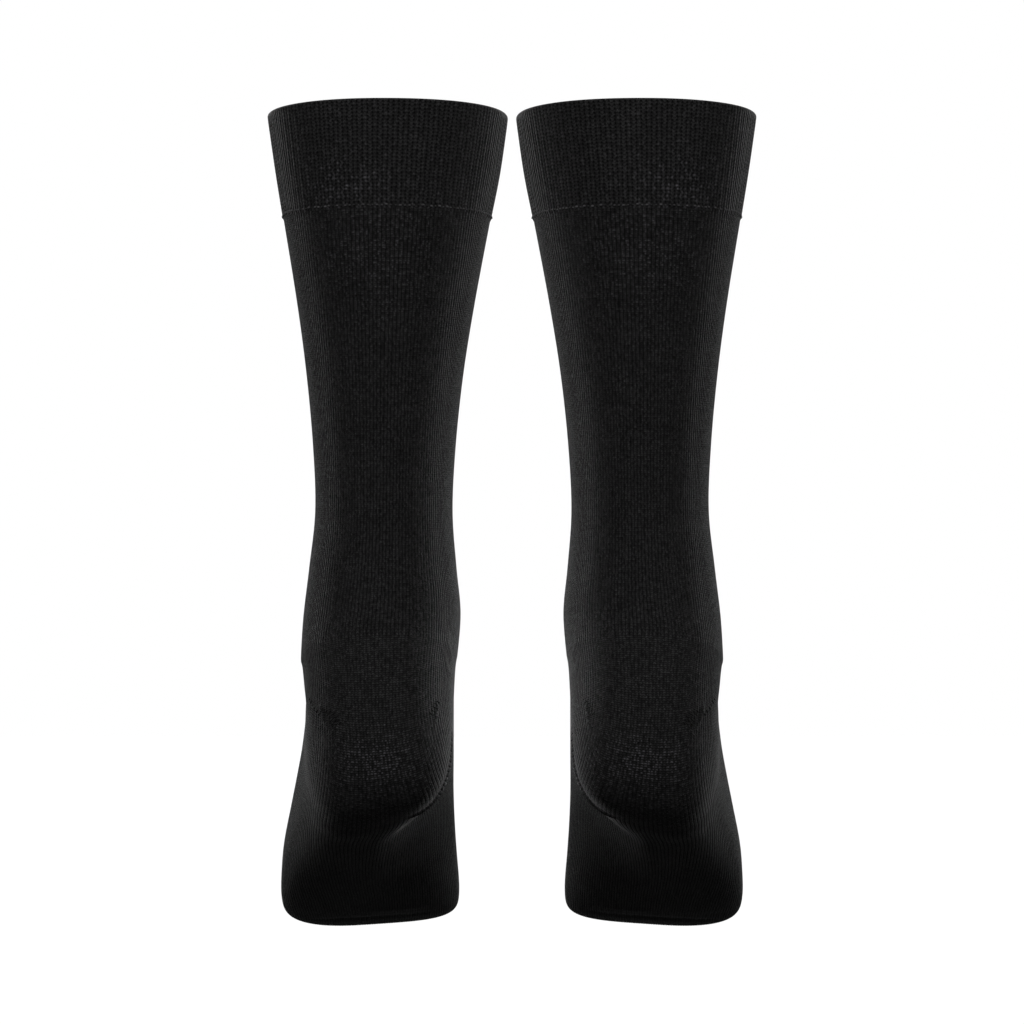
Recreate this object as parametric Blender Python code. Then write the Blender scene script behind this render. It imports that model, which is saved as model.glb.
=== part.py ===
"""A pair of dress socks, hollow and filled out as on two feet that stand on tiptoe.

The right sock is worked out in millimetres and the left one is its mirror across x = 0. +Z is up, the toes
point along +Y and the rims lie at z = 0. Four lines run down each sock: back, front, inner and outer side.
A section names its point on each line, and a ring of cloth passes through those four points. The back line
turns under the heel and becomes the sole, and the front line becomes the top of the foot. At the heel the
back halves of the rings fan round the ankle's sides, as the short rows of a knitted heel do.
"""
import math
from collections import namedtuple

import bmesh
import bpy
import numpy as np

MM = 0.001

# Cloth. The cuff stands out from the leg's skin by CUFF_STAND.
CUFF_WALL = 2.1
PLAIN_WALL = 1.3
SEAM_GAP = 0.4
RIBS = 80
RIB_HEIGHT = 0.7
CUFF_STAND = 0.3
RIM_ROUNDING = 1.0

# Mesh. NUDGE is how far along the sections the skin's slope is taken.
COLUMNS = 32
HALF = COLUMNS // 2
RING_STEPS = 48
NUDGE = 0.02

# Sections of the right sock. A fullness of 2 makes a quarter of the ring an ellipse, and more makes it
# squarer. They are those of the back or sole towards the inner side and the outer side, and of the front.
FIELDS = ("name back_y back_z front_y front_z middle_x inner_x inner_y inner_z outer_x outer_y outer_z "
          "full_inner full_outer full_front")
Section = namedtuple("Section", FIELDS)
SECTIONS = (
    Section("rim", -60.8, 0, 50, 0, 56.0, 2.0, 0, 0, 109.5, 0, 0, 2.25, 2.1, 2.1),
    Section("cuff", -57.3, -25, 48.5, -25, 55.9, 5.6, 0, -25, 105.9, 0, -25, 2.1, 2.1, 2.1),
    Section("cuff end", -54.3, -46.8, 47.1, -46.8, 56.2, 9.9, 0, -46.8, 102.4, 0, -46.8, 2.1, 2.1, 2.1),
    Section("calf", -49.5, -84, 45, -84, 56.7, 16.9, 0, -84, 96.4, 0, -84, 2.1, 2.1, 2.1),
    Section("shin", -45.5, -116, 42.5, -116, 57.0, 22.0, 0, -116, 92.2, 0, -116, 2.1, 2.1, 2.1),
    Section("low shin", -42.5, -148, 40.5, -148, 57.4, 25.4, 0, -148, 89.3, 0, -148, 2.1, 2.1, 2.1),
    Section("narrowest", -41, -176, 39.5, -177, 57.6, 26.8, 0, -177, 88.3, 0, -177, 2.1, 2.1, 2.1),
    Section("over ankle", -41.5, -198, 39.5, -202, 57.8, 25.1, 0, -202, 91.0, 0, -203, 2.1, 2.1, 2.1),
    Section("ankle", -43.5, -214, 40.0, -217, 58.0, 23.2, 1, -223, 93.7, 1, -226, 2.1, 2.1, 2.1),
    Section("heel start", -47, -231, 41.0, -230, 58.3, 24.6, 2, -242, 94.8, 2, -245, 2.2, 2.2, 2.0),
    Section("heel 1", -52, -247, 41.4, -232, 58.5, 25.0, 3, -244, 94.0, 3, -247, 2.3, 2.3, 2.0),
    Section("heel 2", -56, -264, 41.8, -234, 58.7, 25.4, 4, -246, 93.3, 4, -249, 2.5, 2.4, 2.0),
    Section("heel 3", -57.5, -281, 42.2, -236, 58.9, 25.7, 5, -248, 92.3, 5, -253.5, 3.0, 2.5, 2.0),
    Section("heel 4", -54.5, -296.5, 42.7, -238, 59.1, 26.0, 6, -250, 92.6, 7, -258.5, 4.0, 2.6, 2.0),
    Section("heel 5", -46, -308.0, 43.2, -240, 59.4, 26.2, 7, -252, 93.1, 9.5, -265, 4.6, 2.7, 2.0),
    Section("heel end", -30, -316.5, 44.0, -242, 59.8, 26.4, 9, -256, 93.9, 13, -273.5, 3.8, 2.8, 2.0),
    Section("arch 1", -12, -324.5, 48.5, -256, 61.0, 26.7, 22, -273, 96.0, 19.5, -287, 1.9, 2.8, 2.0),
    Section("arch 2", 6, -332.8, 55.5, -272, 62.3, 27.0, 36, -290, 98.9, 27.5, -300.5, 1.6, 2.8, 2.0),
    Section("arch 3", 24, -341.0, 65.0, -289, 63.7, 27.4, 53, -308, 102.3, 37, -315, 1.6, 2.8, 2.0),
    Section("instep", 43, -350.0, 77.0, -307, 65.3, 27.2, 72, -326, 106.4, 48, -333, 1.8, 2.8, 2.0),
    Section("before ball", 62, -359.5, 89.5, -322, 67.0, 26.6, 92, -343, 108.6, 62, -348, 2.4, 2.7, 2.0),
    Section("ball", 82, -369.5, 103.0, -337, 68.3, 26.0, 112, -357, 109.7, 76, -358.5, 3.0, 2.6, 2.0),
    Section("ball end", 104, -378.0, 117.0, -349, 68.8, 26.4, 129, -365, 109.3, 88, -365, 4.0, 2.6, 2.1),
    Section("toe start", 121, -379.5, 131.0, -353.5, 68.0, 29.3, 144, -368, 106.2, 101, -367, 3.4, 2.7, 2.3),
    Section("toes 1", 136, -380.0, 142.5, -356.5, 66.0, 32.0, 154, -369, 102.2, 117, -368, 3.0, 2.7, 2.4),
    Section("toes 2", 149, -379.8, 153.0, -359.5, 63.8, 35.8, 162.5, -370, 96.8, 133, -369.3, 2.8, 2.6, 2.4),
    Section("toes 3", 159.5, -378.8, 162.0, -363.0, 62, 39.8, 169.3, -371.2, 89.5, 148, -370.8, 2.5, 2.4, 2.3),
    Section("toe end", 166.6, -376.8, 168, -366.6, 61.3, 43.6, 173.3, -372, 82.5, 158, -371.8, 2.2, 2.2, 2.2),
    Section("tip", 170.4, -374.6, 171.2, -369.6, 61.3, 47.5, 175.3, -372.3, 75.5, 165, -372.2, 2.0, 2.0, 2.0),
)
STATION = {section.name: number for number, section in enumerate(SECTIONS)}

# Rows of each node, as places along the sections. The foot's first band is the front over the ankle only.
LEG_ROWS = tuple(np.linspace(STATION["cuff end"], STATION["heel start"], 12))
HEEL_ROWS = tuple(np.linspace(STATION["heel start"], STATION["heel end"], 10))
FOOT_ROWS = (STATION["heel start"],) + tuple(np.linspace(STATION["heel end"], STATION["toe start"], 11))
TOE_ROWS = tuple(np.linspace(STATION["toe start"], STATION["tip"], 7))

SIDES = {"right": 1, "left": -1}
CLOTH_COLOUR = (0.012, 0.012, 0.013, 1.0)
CUFF_ROUGHNESS = 0.9
PLAIN_ROUGHNESS = 0.85


def lengthwise_line(points, places):
    """Points of a smooth line through the given ones, at places counted in sections. Its pace changes smoothly."""
    points = np.array(points, float)
    steps = np.diff(points, axis=0)
    lengths = np.linalg.norm(steps, axis=1)
    lengths = np.concatenate([lengths[:1], 2 * lengths[1:] * lengths[:-1] / (lengths[1:] + lengths[:-1] + 1e-9),
                              lengths[-1:]])
    slopes = np.vstack([steps[:1], points[2:] - points[:-2], steps[-1:]])
    return eased(points, slopes * (lengths / (np.linalg.norm(slopes, axis=1) + 1e-9))[:, None], places)


def eased(values, slopes, places):
    """Values between the sections, with the given slopes there."""
    low = np.clip(np.floor(places).astype(int), 0, len(values) - 2)
    part = (np.asarray(places) - low)[:, None]
    high = low + 1
    return ((2 * part**3 - 3 * part**2 + 1) * values[low] + (part**3 - 2 * part**2 + part) * slopes[low]
            + (3 * part**2 - 2 * part**3) * values[high] + (part**3 - part**2) * slopes[high])


def quarter(side, other, ridge, fullness):
    """Ring points from a side point to a back or front point. other is the ring's point on the other side."""
    angle = np.linspace(0, math.pi / 2, RING_STEPS + 1)[:, None]
    beside, along = np.cos(angle) ** (2 / fullness), np.sin(angle) ** (2 / fullness)
    beside[-1] = 0.0
    across = ridge[0] + (side[0] - ridge[0]) * beside
    slope = (other[1:] - side[1:]) / (other[0] - side[0])
    chord = side[1:] + slope * (across - side[0])
    return np.hstack([across, chord + (ridge[1:] - chord[-1]) * along])


def evenly(line, count):
    """A line cut into pieces of equal length."""
    reach = np.concatenate([[0.0], np.cumsum(np.linalg.norm(np.diff(line, axis=0), axis=1))])
    wanted = np.linspace(0, reach[-1], count + 1)
    return np.column_stack([np.interp(wanted, reach, line[:, axis]) for axis in range(3)])


def skin(places, half=HALF):
    """Grid of points on the right sock's outside: a row a place, from the outer side round the back."""
    places = np.asarray(places, float)
    back = lengthwise_line([(s.middle_x, s.back_y, s.back_z) for s in SECTIONS], places)
    front = lengthwise_line([(s.middle_x, s.front_y, s.front_z) for s in SECTIONS], places)
    inner = lengthwise_line([(s.inner_x, s.inner_y, s.inner_z) for s in SECTIONS], places)
    outer = lengthwise_line([(s.outer_x, s.outer_y, s.outer_z) for s in SECTIONS], places)
    widths = np.array([(s.full_inner, s.full_outer, s.full_front) for s in SECTIONS])
    full_inner, full_outer, full_front = eased(widths, np.gradient(widths, axis=0), places).T
    rows = []
    for row in range(len(places)):
        rear = np.vstack([quarter(outer[row], inner[row], back[row], full_outer[row]),
                          quarter(inner[row], outer[row], back[row], full_inner[row])[-2::-1]])
        fore = np.vstack([quarter(inner[row], outer[row], front[row], full_front[row]),
                          quarter(outer[row], inner[row], front[row], full_front[row])[-2::-1]])
        rows.append(np.vstack([evenly(rear, half)[:-1], evenly(fore, half)[:-1]]))
    return np.array(rows)


def unit(vectors):
    return vectors / np.linalg.norm(vectors, axis=-1, keepdims=True)


def outward(places):
    """Directions square to the skin at its grid points, the same for every piece that meets there."""
    places = np.asarray(places, float)
    last = len(SECTIONS) - 1
    ahead = skin(np.minimum(places + NUDGE, last)) - skin(np.maximum(places - NUDGE, 0))
    grid = skin(places)
    around = np.roll(grid, -1, axis=1) - np.roll(grid, 1, axis=1)
    return unit(np.cross(ahead, around))


def square_to(way, edge):
    """The direction of way, turned square to an edge."""
    return unit(way - unit(edge) * (way @ unit(edge)))


def clear_seams(grid, cells):
    """Moves the points on a piece's edges back by half the seam's gap. cells says which cells have cloth."""
    rows, columns = grid.shape[:2]

    def cell(row, column):
        return 0 <= row < rows - 1 and cells[row][column % columns]

    moved = grid.copy()
    for row in range(rows):
        for column in range(columns):
            above = cell(row - 1, column - 1), cell(row - 1, column)
            below = cell(row, column - 1), cell(row, column)
            here, after, before = grid[row, column], grid[row, (column + 1) % columns], grid[row, column - 1]
            upper, lower = grid[max(row - 1, 0), column], grid[min(row + 1, rows - 1), column]
            shift = np.zeros(3)
            if any(below) and not all(above):
                shift += square_to(lower - here, after - before)
            elif any(above) and not all(below):
                shift += square_to(upper - here, after - before)
            if (above[1] and not above[0]) or (below[1] and not below[0]):
                shift += square_to(after - here, lower - upper)
            if (above[0] and not above[1]) or (below[0] and not below[1]):
                shift += square_to(before - here, lower - upper)
            moved[row, column] += shift * SEAM_GAP / 2
    return moved


def cloth_material(name, roughness):
    material = bpy.data.materials.new(name)
    material.use_nodes = True
    shader = material.node_tree.nodes["Principled BSDF"]
    shader.inputs["Base Color"].default_value = CLOTH_COLOUR
    shader.inputs["Roughness"].default_value = roughness
    shader.inputs["Metallic"].default_value = 0.0
    return material


def add_node(name, points, faces, side, roughness):
    """A named object from points in millimetres. The left sock's points and faces are mirrored."""
    mesh = bpy.data.meshes.new(name)
    placed = np.asarray(points) * MM * (side, 1, 1)
    mesh.from_pydata(placed.tolist(), [], faces if side > 0 else [turned(face) for face in faces])
    work = bmesh.new()
    work.from_mesh(mesh)
    unused = [vertex for vertex in work.verts if not vertex.link_faces]
    bmesh.ops.delete(work, geom=unused, context="VERTS")
    work.to_mesh(mesh)
    work.free()
    mesh.shade_smooth()
    mesh.materials.append(cloth_material(name, roughness))
    node = bpy.data.objects.new(name, mesh)
    bpy.context.scene.collection.objects.link(node)
    return node


def plain_piece(name, places, cells, side, closed_end=False):
    """Plain knitted cloth on some of the grid's cells, with its wall on the inside."""
    outside = skin(places)
    inside = outside - outward(places) * PLAIN_WALL
    grid, lining = clear_seams(outside, cells), clear_seams(inside, cells)
    if closed_end:
        grid[-1], lining[-1] = outside[-1], inside[-1]
    rows, columns = grid.shape[:2]
    faces = []
    for row in range(rows - 1):
        for column in range(columns):
            if cells[row][column]:
                after = (column + 1) % columns
                faces.append((row * columns + column, (row + 1) * columns + column,
                              (row + 1) * columns + after, row * columns + after))
    if closed_end:
        faces += end_faces((rows - 1) * columns)
    faces = walled(faces, rows * columns)
    points = np.vstack([grid.reshape(-1, 3), lining.reshape(-1, 3)])
    return add_node(name, points, faces, side, PLAIN_ROUGHNESS)


def end_faces(first):
    """Faces that close the last ring of a toe, from its sole half to its top half."""
    faces = []
    for column in range(HALF):
        sole = first + column, first + column + 1
        top = first + (COLUMNS - column) % COLUMNS, first + COLUMNS - column - 1
        faces.append(tuple(dict.fromkeys((sole[0], top[0], top[1], sole[1]))))
    return faces


def walled(faces, depth):
    """Faces of a closed wall: the outer ones, the same ones turned over inside, and the edges between.
    The inside's points follow the outside's, depth places later."""
    edges = {(face[corner - 1], face[corner]) for face in faces for corner in range(len(face))}
    rim = [(b, a, a + depth, b + depth) for a, b in sorted(edges) if (b, a) not in edges]
    return faces + [tuple(corner + depth for corner in turned(face)) for face in faces] + rim


def turned(face):
    """A face turned over, with the same first corner so that it splits along the same diagonal."""
    return (face[0],) + face[:0:-1]


def ribbed_cuff(name, side):
    """The double cuff: ribs raised in its outer points, over a plain inside."""
    around = 2 * RIBS
    relief = np.where(np.arange(around) % 2 == 0, 0.0, RIB_HEIGHT)[:, None] - CUFF_STAND
    inside = CUFF_WALL - CUFF_STAND
    rim, middle, end = (STATION[name] for name in ("rim", "cuff", "cuff end"))
    bottom = SECTIONS[end].back_z + SEAM_GAP / 2
    shoulder = SECTIONS[rim].back_z - RIM_ROUNDING
    below_rim = RIM_ROUNDING / (SECTIONS[rim].back_z - SECTIONS[middle].back_z)
    rings = [
        cuff_ring(end, relief, around, bottom),
        cuff_ring(middle, relief, around, SECTIONS[middle].back_z),
        cuff_ring(2 * below_rim, relief, around, shoulder - RIM_ROUNDING),
        cuff_ring(below_rim, (relief + RIB_HEIGHT) / 2, around, shoulder + RIM_ROUNDING / 2),
        cuff_ring(rim, inside / 2, around, SECTIONS[rim].back_z),
        cuff_ring(below_rim, inside, COLUMNS, shoulder),
        cuff_ring(middle, inside, COLUMNS, SECTIONS[middle].back_z),
        cuff_ring(end, inside, COLUMNS, bottom),
    ]
    starts = np.concatenate([[0], np.cumsum([len(ring) for ring in rings])])
    faces = []
    for number, lower in enumerate(rings):
        after = (number + 1) % len(rings)
        faces += band(starts[number], len(lower), starts[after], len(rings[after]))
    return add_node(name, np.vstack(rings), faces, side, CUFF_ROUGHNESS)


def cuff_ring(place, inset, count, height):
    """A level ring of the cuff, moved in from the skin."""
    line = skin([place], count // 2)[0]
    ahead = np.roll(line, -1, axis=0) - np.roll(line, 1, axis=0)
    moved = line - unit(np.cross((0, 0, 1), ahead)) * inset
    moved[:, 2] = height
    return moved


def band(low_start, low_count, high_start, high_count):
    """Triangles between two rings whose counts are multiples of one another."""
    faces = []
    count = min(low_count, high_count)
    low_each, high_each = low_count // count, high_count // count
    for place in range(count):
        low = [low_start + (place * low_each + step) % low_count for step in range(low_each + 1)]
        high = [high_start + (place * high_each + step) % high_count for step in range(high_each + 1)]
        if low_each == high_each:
            faces.append((low[1], low[0], high[0], high[1]))
        elif low_each > high_each:
            half = low_each // 2
            faces += [(low[s + 1], low[s], high[0]) for s in range(half)]
            faces.append((high[1], low[half], high[0]))
            faces += [(low[s + 1], low[s], high[1]) for s in range(half, low_each)]
        else:
            half = high_each // 2
            faces += [(high[s], high[s + 1], low[0]) for s in range(half)]
            faces.append((low[0], high[half], low[1]))
            faces += [(high[s], high[s + 1], low[1]) for s in range(half, high_each)]
    return faces


def whole(places):
    return [[True] * COLUMNS for _ in places[:-1]]


def make_sock(name, side):
    ribbed_cuff(f"{name}_cuff", side)
    plain_piece(f"{name}_leg", LEG_ROWS, whole(LEG_ROWS), side)
    rear_only = [[column < HALF for column in range(COLUMNS)] for _ in HEEL_ROWS[:-1]]
    plain_piece(f"{name}_heel", HEEL_ROWS, rear_only, side)
    foot = whole(FOOT_ROWS)
    foot[0] = [column >= HALF for column in range(COLUMNS)]
    plain_piece(f"{name}_foot", FOOT_ROWS, foot, side)
    plain_piece(f"{name}_toe", TOE_ROWS, whole(TOE_ROWS), side, closed_end=True)


def main():
    for thing in list(bpy.data.objects):
        bpy.data.objects.remove(thing, do_unlink=True)
    for name, side in SIDES.items():
        make_sock(f"{name}_sock", side)


main()
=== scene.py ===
"""A pair of fine-knit dress socks in their worn shape: ribbed cuffs, plain legs, heel pockets, feet and toes.

Each knitted part is a thin closed shell over its solid. Sizes are in millimetres until a mesh is made, and the
camera, lights and ground are in metres. The right sock is worked out first and the left one is its mirror.
"""
import math
from collections import namedtuple

import bpy
import numpy as np
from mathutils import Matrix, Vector


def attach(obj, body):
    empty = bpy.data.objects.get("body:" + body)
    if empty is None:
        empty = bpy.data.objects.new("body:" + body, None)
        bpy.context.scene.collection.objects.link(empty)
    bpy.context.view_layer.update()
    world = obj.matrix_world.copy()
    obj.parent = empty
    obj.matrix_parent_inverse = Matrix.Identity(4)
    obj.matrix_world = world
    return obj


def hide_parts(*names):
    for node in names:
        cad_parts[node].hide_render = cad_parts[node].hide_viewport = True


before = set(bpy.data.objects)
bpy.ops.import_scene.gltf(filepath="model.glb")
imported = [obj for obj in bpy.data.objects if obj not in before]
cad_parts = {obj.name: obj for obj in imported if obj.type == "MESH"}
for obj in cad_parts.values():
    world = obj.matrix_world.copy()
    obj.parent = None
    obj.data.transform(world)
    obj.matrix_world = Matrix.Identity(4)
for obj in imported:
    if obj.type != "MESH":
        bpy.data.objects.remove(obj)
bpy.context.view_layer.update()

MM = 0.001

# Knitting: wales in the round and in half of it, courses of a part, and a course's pitch
WALES = 160
HALF_WALES = WALES // 2
CUFF_COURSES = 29
LEG_COURSE = 0.95
HEEL_COURSES = 48
HEEL_SIDE_COURSES = 7
HEEL_FLAT_WALES = 12
FOOT_COURSE = 1.0

# Cloth: walls, how far the cuff stands out, the relief's rise and depth, and where stitches lie
CUFF_WALL = 2.1
CUFF_STAND = 0.3
PLAIN_WALL = 1.1
RIB_HEIGHT = 0.24
RIB_SUNK = 0.14
WALE_HEIGHT = 0.22
TRANSFER_UP = 1.3
TRANSFER_CLEAR = 0.08
STITCH_CLEAR = 0.2

# Mesh: columns in each wale, rows of each part, and the cloth's edges. FOOT_ROWS holds the last place of each
# stretch of the foot and the rows in it.
WALE_COLUMNS = 4
HALF = HALF_WALES * WALE_COLUMNS
COLUMNS = 2 * HALF
COURSE_ROWS = 4
LEG_STEPS = 48
GORE_STEPS = 48
BAND_STEPS = 12
FOOT_ROWS = ((20.8, 34), (21.9, 14), (23, 8))
TOE_STEPS = 25
TIP_ROWS = 3
TIP_BULGE = 1.5
TOE_FADE_ROWS = 10
RIM_ROWS = 8
CUFF_LINING_ROWS = 8
EDGE_TURN = 0.04
EDGE_TUCK = 0.25
RIM_FADE = 0.12
LINING_STRIDE = 4
HEEL_LINING_STRIDE = 8
RING_STEPS = 240
NUDGE = 0.02
LENGTH_STEPS = 400
LENGTH_HALF = 16
ARCH_STEPS = 5
YARN_SIDES = 6

# Camera, light and ground. The room's light fades between two slopes of the line of sight. A side lamp is
# placed for the right sock and mirrored for the left one.
EYE_BACK = 1.29
EYE_HEIGHT = -0.1777
LENS = 100.8
GROUND_HEIGHT = -0.75
GROUND_HALF = 6
ROOM_LIGHT = 0.36
FLOOR_LIGHT = 0.12
DIM_SLOPE = -0.35
FULL_SLOPE = 0.6
Lamp = namedtuple("Lamp", "name x y z aim_x aim_z width height power spread")
SIDE_LAMPS = (
    Lamp("behind", 0.8, 1.12, 0.1, 0.0, 0.05, 0.8, 1.2, 0.55, 36),
    Lamp("inner", -0.5, 0.42, -0.1, 0.02, -0.1, 0.05, 0.4, 0.03, 10),
    Lamp("heel", -0.5, 0.42, -0.2, 0.035, -0.262, 0.08, 0.08, 0.014, 8),
)
FRONT_LAMP = Lamp("front", 0.0, -1.5, 0.6, 0.0, -0.1, 0.5, 0.5, 8.0, 180)

# Sections of the right sock, as in the solids
FIELDS = ("name back_y back_z front_y front_z middle_x inner_x inner_y inner_z outer_x outer_y outer_z "
          "full_inner full_outer full_front")
Section = namedtuple("Section", FIELDS)
SECTIONS = (
    Section("rim", -60.8, 0, 50, 0, 56.0, 2.0, 0, 0, 109.5, 0, 0, 2.25, 2.1, 2.1),
    Section("cuff", -57.3, -25, 48.5, -25, 55.9, 5.6, 0, -25, 105.9, 0, -25, 2.1, 2.1, 2.1),
    Section("cuff end", -54.3, -46.8, 47.1, -46.8, 56.2, 9.9, 0, -46.8, 102.4, 0, -46.8, 2.1, 2.1, 2.1),
    Section("calf", -49.5, -84, 45, -84, 56.7, 16.9, 0, -84, 96.4, 0, -84, 2.1, 2.1, 2.1),
    Section("shin", -45.5, -116, 42.5, -116, 57.0, 22.0, 0, -116, 92.2, 0, -116, 2.1, 2.1, 2.1),
    Section("low shin", -42.5, -148, 40.5, -148, 57.4, 25.4, 0, -148, 89.3, 0, -148, 2.1, 2.1, 2.1),
    Section("narrowest", -41, -176, 39.5, -177, 57.6, 26.8, 0, -177, 88.3, 0, -177, 2.1, 2.1, 2.1),
    Section("over ankle", -41.5, -198, 39.5, -202, 57.8, 25.1, 0, -202, 91.0, 0, -203, 2.1, 2.1, 2.1),
    Section("ankle", -43.5, -214, 40.0, -217, 58.0, 23.2, 1, -223, 93.7, 1, -226, 2.1, 2.1, 2.1),
    Section("heel start", -47, -231, 41.0, -230, 58.3, 24.6, 2, -242, 94.8, 2, -245, 2.2, 2.2, 2.0),
    Section("heel 1", -52, -247, 41.4, -232, 58.5, 25.0, 3, -244, 94.0, 3, -247, 2.3, 2.3, 2.0),
    Section("heel 2", -56, -264, 41.8, -234, 58.7, 25.4, 4, -246, 93.3, 4, -249, 2.5, 2.4, 2.0),
    Section("heel 3", -57.5, -281, 42.2, -236, 58.9, 25.7, 5, -248, 92.3, 5, -253.5, 3.0, 2.5, 2.0),
    Section("heel 4", -54.5, -296.5, 42.7, -238, 59.1, 26.0, 6, -250, 92.6, 7, -258.5, 4.0, 2.6, 2.0),
    Section("heel 5", -46, -308.0, 43.2, -240, 59.4, 26.2, 7, -252, 93.1, 9.5, -265, 4.6, 2.7, 2.0),
    Section("heel end", -30, -316.5, 44.0, -242, 59.8, 26.4, 9, -256, 93.9, 13, -273.5, 3.8, 2.8, 2.0),
    Section("arch 1", -12, -324.5, 48.5, -256, 61.0, 26.7, 22, -273, 96.0, 19.5, -287, 1.9, 2.8, 2.0),
    Section("arch 2", 6, -332.8, 55.5, -272, 62.3, 27.0, 36, -290, 98.9, 27.5, -300.5, 1.6, 2.8, 2.0),
    Section("arch 3", 24, -341.0, 65.0, -289, 63.7, 27.4, 53, -308, 102.3, 37, -315, 1.6, 2.8, 2.0),
    Section("instep", 43, -350.0, 77.0, -307, 65.3, 27.2, 72, -326, 106.4, 48, -333, 1.8, 2.8, 2.0),
    Section("before ball", 62, -359.5, 89.5, -322, 67.0, 26.6, 92, -343, 108.6, 62, -348, 2.4, 2.7, 2.0),
    Section("ball", 82, -369.5, 103.0, -337, 68.3, 26.0, 112, -357, 109.7, 76, -358.5, 3.0, 2.6, 2.0),
    Section("ball end", 104, -378.0, 117.0, -349, 68.8, 26.4, 129, -365, 109.3, 88, -365, 4.0, 2.6, 2.1),
    Section("toe start", 121, -379.5, 131.0, -353.5, 68.0, 29.3, 144, -368, 106.2, 101, -367, 3.4, 2.7, 2.3),
    Section("toes 1", 136, -380.0, 142.5, -356.5, 66.0, 32.0, 154, -369, 102.2, 117, -368, 3.0, 2.7, 2.4),
    Section("toes 2", 149, -379.8, 153.0, -359.5, 63.8, 35.8, 162.5, -370, 96.8, 133, -369.3, 2.8, 2.6, 2.4),
    Section("toes 3", 159.5, -378.8, 162.0, -363.0, 62, 39.8, 169.3, -371.2, 89.5, 148, -370.8, 2.5, 2.4, 2.3),
    Section("toe end", 166.6, -376.8, 168.0, -366.6, 61.3, 43.6, 173.3, -372, 82.5, 158, -371.8, 2.2, 2.2, 2.2),
    Section("tip", 170.4, -374.6, 171.2, -369.6, 61.3, 47.5, 175.3, -372.3, 75.5, 165, -372.2, 2.0, 2.0, 2.0),
)
STATION = {section.name: number for number, section in enumerate(SECTIONS)}
HEEL_START, HEEL_END = STATION["heel start"], STATION["heel end"]
# The place where the heel's two wedges of courses meet, and how far its loops crowd to its middle
GORE = 11.8
GATHER = 0.3

# Where the cloth is stretched open, which is where most of the painted highlights (glints) on the loops' crests
# go
Spot = namedtuple("Spot", "name x y z width depth height amount")
GLINT_STRAIN_SPOTS = (
    Spot("heel", 58, -55, -286, 17, 30, 13, 0.9),
    Spot("cuff's end", 72, -54, -36, 20, 30, 11, 0.7),
    Spot("calf", 56, -50, -62, 24, 30, 20, 0.45),
)
# Soft creases (+ a ridge, - a trough), each along a route of sections and wales
Crease = namedtuple("Crease", "name height width route")
CREASES = (
    Crease("heel's inner edge", 1.5, 1.15,
           ((13.2, 66.5), (14.2, 61), (14.8, 57), (15, 53), (15, 49), (15, 45))),
    Crease("heel's corner, outer side", 1.2, 0.65, ((11.02, 22), (11.2, 23), (11.42, 23.8))),
    Crease("below the outer corner", 0.45, 0.5, ((11.42, 23.8), (11.56, 25.4), (11.72, 27.4))),
    Crease("heel's corner, inner side", 0.7, 0.7, ((11.15, 62.5), (11.3, 59.7), (11.6, 58.2), (11.9, 57))),
    Crease("before the toes", -0.6, 2.2, ((21.5, 14), (21.36, 26), (21.36, 44), (21.42, 65))),
    Crease("behind the toes", 0.3, 2.4, ((20.9, 38), (20.95, 48), (21.0, 60))),
    Crease("ankle's inner side, high", 0.35, 2.0, ((8.2, 58), (8.9, 64), (9.8, 70))),
    Crease("ankle's inner side, low", 0.3, 1.6, ((9.0, 60), (10.2, 66), (11.0, 72))),
    Crease("front bend, high", -0.6, 2.2, ((8.0, 104), (8.25, 118), (8.15, 133))),
    Crease("front bend, middle", -0.8, 1.8, ((12.4, 99), (12.9, 117), (12.2, 141))),
    Crease("front bend, low", -0.5, 2.6, ((16.1, 108), (16.3, 121), (16.15, 130))),
)
CREASE_STEPS = 60
CREASE_REACH = 3
# Open slots between the drawn-out loops of the heel's corners. Loops of near-black yarn stand in them for the
# shadow inside: painted shadow.
Slots = namedtuple("Slots", "start end number lean")
HEEL_SLOTS = (
    Slots((11.07, 16.0), (11.32, 21.2), 6, 0.8),
    Slots((11.10, 24.8), (11.40, 26.8), 5, 0.8),
    Slots((11.08, 26.2), (11.36, 28.2), 5, 0.8),
    Slots((11.10, 27.6), (11.32, 29.2), 4, 0.8),
    Slots((11.18, 60.0), (11.44, 57.4), 5, -0.8),
    Slots((11.16, 58.8), (11.36, 56.4), 4, -0.8),
)
TOE_SEAM = 23.12
# Stitches of the seams, each a short arch of yarn
Stitch = namedtuple("Stitch", "length rise yarn_radius")
TRANSFER_STITCH = Stitch(0.7, 0.3, 0.3)
SLOT_STITCH = Stitch(1.7, 0.12, 0.19)
TOE_STITCH = Stitch(1.5, 0.4, 0.3)
SIDES = {"right": 1, "left": -1}


# ---- the skin ----

def lengthwise_line(points, places):
    """Points of a smooth line through the given ones, at places counted in sections."""
    points = np.array(points, float)
    steps = np.diff(points, axis=0)
    lengths = np.linalg.norm(steps, axis=1)
    before, after = lengths[:-1], lengths[1:]
    lengths = np.concatenate([lengths[:1], 2 * after * before / (after + before + 1e-9), lengths[-1:]])
    slopes = np.vstack([steps[:1], points[2:] - points[:-2], steps[-1:]])
    return eased(points, slopes * (lengths / (np.linalg.norm(slopes, axis=1) + 1e-9))[:, None], places)


def eased(values, slopes, places):
    """Values between the sections, with the given slopes there."""
    low = np.clip(np.floor(places).astype(int), 0, len(values) - 2)
    part = (np.asarray(places) - low)[:, None]
    high = low + 1
    return ((2 * part**3 - 3 * part**2 + 1) * values[low] + (part**3 - 2 * part**2 + part) * slopes[low]
            + (3 * part**2 - 2 * part**3) * values[high] + (part**3 - part**2) * slopes[high])


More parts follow.
